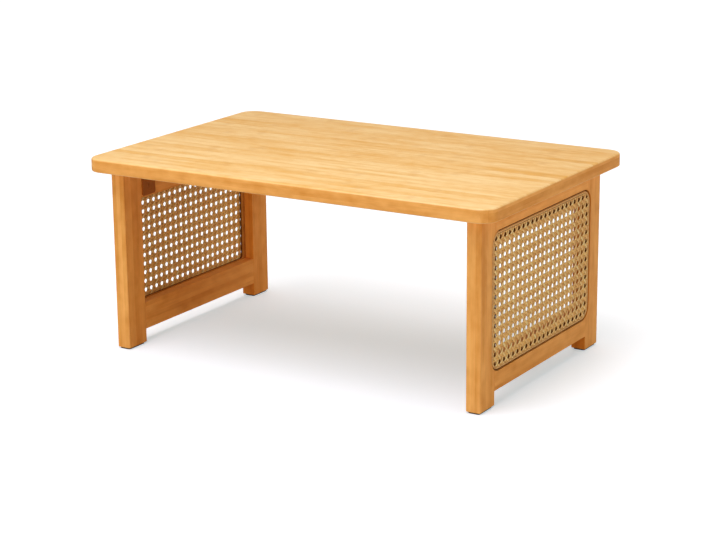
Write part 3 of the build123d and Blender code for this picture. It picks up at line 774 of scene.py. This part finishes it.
def cane_finish(name, tones):
    """Split rattan: fine lines along each strip, and each strip with a tone of its own."""
    finish = new_finish(name)
    tree = finish.node_tree
    add = tree.nodes.new
    link = tree.links.new
    shader = tree.nodes["Principled BSDF"]
    place = add("ShaderNodeUVMap")
    split = add("ShaderNodeSeparateXYZ")
    link(place.outputs[0], split.inputs[0])
    whole = add("ShaderNodeMath")
    whole.operation = "ROUND"
    link(split.outputs[1], whole.inputs[0])
    chance = add("ShaderNodeTexWhiteNoise")
    chance.noise_dimensions = "1D"
    link(whole.outputs[0], chance.inputs["W"])
    stretch = add("ShaderNodeMapping")
    stretch.inputs["Scale"].default_value = CANE_LINE_RATES
    link(place.outputs[0], stretch.inputs["Vector"])
    lines = add("ShaderNodeTexNoise")
    lines.inputs["Scale"].default_value = 1.0
    lines.inputs["Detail"].default_value = 3.0
    link(stretch.outputs[0], lines.inputs["Vector"])
    both = add("ShaderNodeMath")
    both.operation = "MULTIPLY_ADD"
    both.inputs[1].default_value = CANE_OWN_TONE
    link(chance.outputs["Value"], both.inputs[0])
    link(lines.outputs["Fac"], both.inputs[2])
    tone = ramp_between(tree, both.outputs[0], *CANE_TONE_ENDS)
    link(mixed_colour(tree, tone, *tones), shader.inputs["Base Color"])
    link(spread_over(tree, lines.outputs["Fac"], *CANE_GLOSS), shader.inputs["Roughness"])
    add_relief(tree, lines.outputs["Fac"], CANE_RELIEF_STRENGTH, CANE_RELIEF)
    return finish


# a strip's skin, its back, and its cut edges, which are darkened as painted shade round the holes
cut_edge_shade_finish = cane_finish("cane_cut_edge_shade", CUT_EDGE_SHADE_TONES)
pair_finishes = (
    cane_finish("cane_skin", SKIN_TONES),
    cane_finish("cane_pith", PITH_TONES),
    cut_edge_shade_finish,
)
diagonal_finishes = (
    cane_finish("pale_cane_skin", PALE_SKIN_TONES),
    cane_finish("pale_cane_pith", PALE_PITH_TONES),
    cut_edge_shade_finish,
)
for side, sign in SIDES.items():
    webbing_low, webbing_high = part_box(f"{side}_cane_webbing")
    half = (webbing_high - webbing_low) / 2
    middle = (webbing_low + webbing_high) / 2
    # a panel's width goes along Y, its height along Z, and its skin looks away from the table
    stand = Matrix(((0, 0, sign, middle.x), (1, 0, 0, middle.y), (0, 1, 0, middle.z), (0, 0, 0, 1)))
    for kind, plan, finishes in (
        ("upright", upright_strips, pair_finishes),
        ("level", level_strips, pair_finishes),
        ("diagonal", diagonal_strips, diagonal_finishes),
    ):
        strips = weave_strips(f"{side}_cane_{kind}", plan, half, stand)
        for finish in finishes:
            strips.data.materials.append(finish)
        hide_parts(f"{side}_cane_webbing")
        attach(strips, f"{side}_frame")

# ---- the reed spline -----------------------------------------------------------------------------
# A round reed, soaked and driven into the groove of the cane frame over the webbing's edge. It holds
# the webbing tight and leaves a low bead all round the panel.
REED_RADIUS = 0.0015
REED_SIDES = 12
REED_CORNER = 0.0168  # the radius of the reed's outside at the panel's corners
REED_CORNER_STEPS = 10
REED_TONES = ((0.62, 0.32, 0.10), (0.86, 0.53, 0.20))  # deep, pale
REED_TONE_ENDS = (0.3, 0.7)  # the values of the flecks that give the one and the other
REED_FLECK_RATE = 420.0
REED_ROUGHNESS = 0.5


def reed_finish():
    """Round reed: pale brown with darker flecks."""
    finish = new_finish("reed")
    tree = finish.node_tree
    shader = tree.nodes["Principled BSDF"]
    shader.inputs["Roughness"].default_value = REED_ROUGHNESS
    place = tree.nodes.new("ShaderNodeTexCoord")
    flecks = tree.nodes.new("ShaderNodeTexNoise")
    flecks.inputs["Scale"].default_value = REED_FLECK_RATE
    flecks.inputs["Detail"].default_value = 3.0
    tree.links.new(place.outputs["Object"], flecks.inputs["Vector"])
    tone = ramp_between(tree, flecks.outputs["Fac"], *REED_TONE_ENDS)
    tree.links.new(mixed_colour(tree, tone, *REED_TONES), shader.inputs["Base Color"])
    return finish


def reed_loop(reed_x, low, high):
    """A reed laid once round a panel, just inside the outline that the two corners give."""
    corner = REED_CORNER - REED_RADIUS
    straight_y = high.y - low.y - 2 * REED_CORNER
    straight_z = high.z - low.z - 2 * REED_CORNER
    spot = Vector((reed_x, low.y + REED_CORNER, low.z + REED_RADIUS))
    bm = bmesh.new()
    bmesh.ops.create_circle(
        bm, segments=REED_SIDES, radius=REED_RADIUS,
        matrix=Matrix.Translation(spot) @ Matrix.Rotation(math.pi / 2, 4, "X"),
    )
    edges = bm.edges[:]
    run = Vector((0, 1, 0))
    inwards = Vector((0, 0, 1))
    for length in (straight_y, straight_z, straight_y, straight_z):
        grown = bmesh.ops.extrude_edge_only(bm, edges=edges)["geom"]
        verts = [g for g in grown if isinstance(g, bmesh.types.BMVert)]
        edges = [
            g for g in grown if isinstance(g, bmesh.types.BMEdge)
            and all(v in verts for v in g.verts)
        ]
        bmesh.ops.translate(bm, vec=run * length, verts=verts)
        spot = spot + run * length
        turned = bmesh.ops.spin(
            bm, geom=verts + edges, cent=spot + inwards * corner, axis=(1, 0, 0),
            angle=math.pi / 2, steps=REED_CORNER_STEPS, use_merge=False, use_duplicate=False,
        )["geom_last"]
        edges = [g for g in turned if isinstance(g, bmesh.types.BMEdge)]
        spot = spot + (inwards + run) * corner
        run, inwards = inwards, -run
    bmesh.ops.remove_doubles(bm, verts=bm.verts, dist=SAME_PLACE)
    bmesh.ops.recalc_face_normals(bm, faces=bm.faces)
    for face in bm.faces:
        face.smooth = True
    return bm


reed_brown = reed_finish()
for side, sign in SIDES.items():
    spline_low, spline_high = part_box(f"{side}_cane_spline")
    outermost = max(abs(spline_low.x), abs(spline_high.x))
    reed_x = sign * (outermost - REED_RADIUS)
    reed = place_mesh(f"{side}_reed_spline", reed_loop(reed_x, spline_low, spline_high))
    reed.data.materials.append(reed_brown)
    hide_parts(f"{side}_cane_spline")
    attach(reed, f"{side}_frame")

# ---- the fittings --------------------------------------------------------------------------------
# Pressed steel butt hinges, bolt plates and screws, painted dark bronze, with bright steel pins and
# bolts. The paint and the bare steel are both slightly uneven in tone and gloss.
BRONZE_TONES = ((0.27, 0.075, 0.006), (0.48, 0.145, 0.014))  # deep, pale
BRONZE_METALLIC = 0.4
BRONZE_GLOSS = (0.40, 0.60)
BRONZE_SHINE = 0.15
STEEL_TONES = ((0.45, 0.44, 0.42), (0.62, 0.61, 0.58))
STEEL_GLOSS = (0.22, 0.42)
STEEL_SHINE = 0.5
CLOUD_RATE = 260.0
CLOUD_RELIEF = 0.0001
CLOUD_RELIEF_STRENGTH = 0.15


def fitting_finish(name, tones, metallic, gloss, shine):
    """A metal or rubber surface with uneven tone and gloss."""
    finish = new_finish(name)
    tree = finish.node_tree
    shader = tree.nodes["Principled BSDF"]
    shader.inputs["Metallic"].default_value = metallic
    shader.inputs["Specular IOR Level"].default_value = shine
    place = tree.nodes.new("ShaderNodeTexCoord")
    cloud = tree.nodes.new("ShaderNodeTexNoise")
    cloud.inputs["Scale"].default_value = CLOUD_RATE
    cloud.inputs["Detail"].default_value = 4.0
    tree.links.new(place.outputs["Object"], cloud.inputs["Vector"])
    colour = mixed_colour(tree, cloud.outputs["Fac"], *tones)
    roughness = spread_over(tree, cloud.outputs["Fac"], *gloss)
    tree.links.new(colour, shader.inputs["Base Color"])
    tree.links.new(roughness, shader.inputs["Roughness"])
    add_relief(tree, cloud.outputs["Fac"], CLOUD_RELIEF_STRENGTH, CLOUD_RELIEF)
    return finish


bronze = fitting_finish(
    "dark_bronze", BRONZE_TONES, metallic=BRONZE_METALLIC, gloss=BRONZE_GLOSS, shine=BRONZE_SHINE
)
steel = fitting_finish(
    "bright_steel", STEEL_TONES, metallic=1.0, gloss=STEEL_GLOSS, shine=STEEL_SHINE
)
refinish_ends(
    (
        "front_hinge_top_leaf", "back_hinge_top_leaf", "front_hinge_rail_leaf",
        "back_hinge_rail_leaf", "hinge_top_screws", "hinge_rail_screws", "bolt_plate",
        "bolt_plate_screws", "bolt_knob",
    ),
    bronze,
)
refinish_ends(("front_hinge_pin", "back_hinge_pin", "bolt_rod", "bolt_keeper"), steel)

# ---- the pads and bumpers ------------------------------------------------------------------------
# Dark rubber, moulded. A pad is glued under each leg to save the floor, and a button under the top
# stops each folded leg just short of the wood.
RUBBER_TONES = ((0.045, 0.026, 0.016), (0.085, 0.05, 0.03))
RUBBER_GLOSS = (0.65, 0.85)
RUBBER_SHINE = 0.5

rubber = fitting_finish(
    "dark_rubber", RUBBER_TONES, metallic=0.0, gloss=RUBBER_GLOSS, shine=RUBBER_SHINE
)
refinish_ends(("front_foot_pad", "back_foot_pad"), rubber)
refinish("leg_bumpers", rubber)
